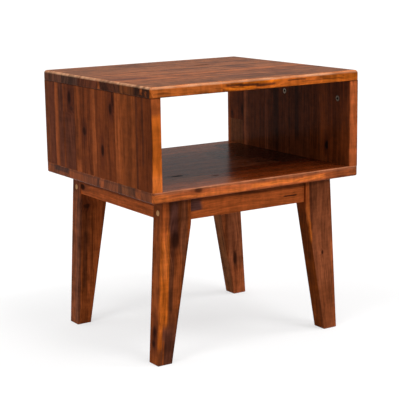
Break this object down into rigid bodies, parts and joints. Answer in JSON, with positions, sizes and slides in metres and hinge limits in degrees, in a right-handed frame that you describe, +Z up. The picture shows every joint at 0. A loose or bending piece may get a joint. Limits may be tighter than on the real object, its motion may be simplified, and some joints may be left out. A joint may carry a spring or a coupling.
{
  "type": "nightstand",
  "caption": "Small wooden nightstand: an open-front, open-back cubby box of glued boards on splayed, tapered legs with aprons.",
  "frame": {"origin": "on the floor, under the middle of the box", "axes": "+X to the right seen from the front, the open front faces -Y, +Z up"},
  "size_m": [0.45, 0.406, 0.501],
  "materials": {
    "acacia_top": "reddish brown acacia, satin lacquer",
    "acacia_bottom": "reddish brown acacia, satin lacquer",
    "acacia_sides": "dark and mid brown acacia staves, satin lacquer",
    "acacia_legs": "reddish brown acacia, satin lacquer",
    "acacia_aprons": "reddish brown acacia, satin lacquer",
    "plug_wood": "pale wood plug, satin lacquer",
    "dowel_beech": "bare beech",
    "cam_zinc": "plain zinc die casting",
    "fastener_steel": "zinc-plated steel"
  },
  "bodies": {
    "root": {"top_stave_1": "acacia_top", "top_stave_2": "acacia_top", "top_stave_3": "acacia_top", "top_stave_4": "acacia_top", "top_stave_5": "acacia_top", "top_stave_6": "acacia_top", "bottom_stave_1": "acacia_bottom", "bottom_stave_2": "acacia_bottom", "bottom_stave_3": "acacia_bottom", "bottom_stave_4": "acacia_bottom", "bottom_stave_5": "acacia_bottom", "bottom_stave_6": "acacia_bottom", "bottom_stave_7": "acacia_bottom", "left_side_stave_1": "acacia_sides", "left_side_stave_2": "acacia_sides", "left_side_stave_3": "acacia_sides", "left_side_stave_4": "acacia_sides", "left_side_stave_5": "acacia_sides", "left_side_stave_6": "acacia_sides", "right_side_stave_1": "acacia_sides", "right_side_stave_2": "acacia_sides", "right_side_stave_3": "acacia_sides", "right_side_stave_4": "acacia_sides", "right_side_stave_5": "acacia_sides", "right_side_stave_6": "acacia_sides", "front_left_leg": "acacia_legs", "front_left_plug": "plug_wood", "front_right_leg": "acacia_legs", "front_right_plug": "plug_wood", "rear_left_leg": "acacia_legs", "rear_left_plug": "plug_wood", "rear_right_leg": "acacia_legs", "rear_right_plug": "plug_wood", "front_apron": "acacia_aprons", "rear_apron": "acacia_aprons", "left_apron": "acacia_aprons", "right_apron": "acacia_aprons", "left_front_cam_lock": "cam_zinc", "left_front_cam_bolt": "fastener_steel", "left_middle_cam_lock": "cam_zinc", "left_middle_cam_bolt": "fastener_steel", "left_rear_cam_lock": "cam_zinc", "left_rear_cam_bolt": "fastener_steel", "right_front_cam_lock": "cam_zinc", "right_front_cam_bolt": "fastener_steel", "right_middle_cam_lock": "cam_zinc", "right_middle_cam_bolt": "fastener_steel", "right_rear_cam_lock": "cam_zinc", "right_rear_cam_bolt": "fastener_steel", "top_dowels": "dowel_beech", "bottom_dowels": "dowel_beech", "apron_dowels": "dowel_beech", "bottom_panel_screws": "fastener_steel", "base_screws": "fastener_steel", "leg_screws": "fastener_steel"}
  },
  "joints": []
}
